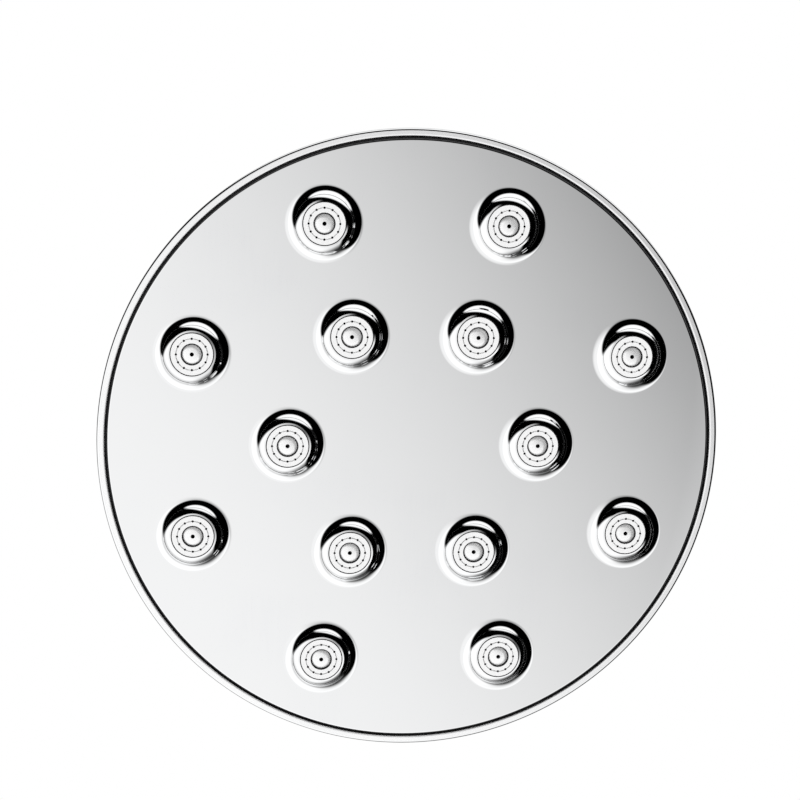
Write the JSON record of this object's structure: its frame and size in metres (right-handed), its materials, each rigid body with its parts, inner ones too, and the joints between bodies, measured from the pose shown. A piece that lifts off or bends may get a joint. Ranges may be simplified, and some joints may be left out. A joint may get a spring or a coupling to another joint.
{
  "type": "shower head",
  "caption": "Round overhead shower head: flat mirror face with collared spray nozzles, rolled rim, domed back, ball joint and threaded hexagon inlet.",
  "frame": {"origin": "centre of the inlet's mouth, on the sealing end of the hexagon socket", "axes": "+Z out of the inlet's mouth, towards the supply arm; water leaves along -Z; +X through two nozzles of the inner circle, to the right in the picture"},
  "size_m": [0.2, 0.2, 0.0689],
  "materials": {
    "chrome_body": "polished",
    "chrome_nozzle": "polished",
    "satin_nozzle": "satin",
    "black_rubber": "smooth",
    "white_plastic": "moulded",
    "green_plastic": "moulded",
    "steel": "plain stainless"
  },
  "bodies": {
    "inlet": {"inlet_ball": "chrome_body", "filter_washer": "black_rubber", "filter_screen": "steel", "flow_regulator": "green_plastic", "regulator_o_ring": "black_rubber"},
    "seat_ring": {"ball_seat": "white_plastic"},
    "head": {"back_shell": "chrome_body", "face_plate": "chrome_body", "rim_gasket": "black_rubber", "nozzle_carrier": "white_plastic", "nozzle_seals": "black_rubber", "shell_screws": "steel", "screw_seals": "black_rubber", "ball_nut": "chrome_body", "gland_ring": "white_plastic", "seat_o_ring": "black_rubber", "nozzle_body_01": "chrome_nozzle", "spray_disc_01": "satin_nozzle", "centre_jet_01": "satin_nozzle", "nozzle_body_02": "chrome_nozzle", "spray_disc_02": "satin_nozzle", "centre_jet_02": "satin_nozzle", "nozzle_body_03": "chrome_nozzle", "spray_disc_03": "satin_nozzle", "centre_jet_03": "satin_nozzle", "nozzle_body_04": "chrome_nozzle", "spray_disc_04": "satin_nozzle", "centre_jet_04": "satin_nozzle", "nozzle_body_05": "chrome_nozzle", "spray_disc_05": "satin_nozzle", "centre_jet_05": "satin_nozzle", "nozzle_body_06": "chrome_nozzle", "spray_disc_06": "satin_nozzle", "centre_jet_06": "satin_nozzle", "nozzle_body_07": "chrome_nozzle", "spray_disc_07": "satin_nozzle", "centre_jet_07": "satin_nozzle", "nozzle_body_08": "chrome_nozzle", "spray_disc_08": "satin_nozzle", "centre_jet_08": "satin_nozzle", "nozzle_body_09": "chrome_nozzle", "spray_disc_09": "satin_nozzle", "centre_jet_09": "satin_nozzle", "nozzle_body_10": "chrome_nozzle", "spray_disc_10": "satin_nozzle", "centre_jet_10": "satin_nozzle", "nozzle_body_11": "chrome_nozzle", "spray_disc_11": "satin_nozzle", "centre_jet_11": "satin_nozzle", "nozzle_body_12": "chrome_nozzle", "spray_disc_12": "satin_nozzle", "centre_jet_12": "satin_nozzle", "nozzle_body_13": "chrome_nozzle", "spray_disc_13": "satin_nozzle", "centre_jet_13": "satin_nozzle", "nozzle_body_14": "chrome_nozzle", "spray_disc_14": "satin_nozzle", "centre_jet_14": "satin_nozzle"}
  },
  "joints": [
    {"name": "tilt", "type": "hinge", "parent": "inlet", "child": "seat_ring", "pos_m": [0, 0, -0.0357], "axis": [1, 0, 0], "range_deg": [-15, 15]},
    {"name": "swivel", "type": "hinge", "parent": "seat_ring", "child": "head", "pos_m": [0, 0, -0.0357], "axis": [0, 0, 1], "continuous": true}
  ]
}
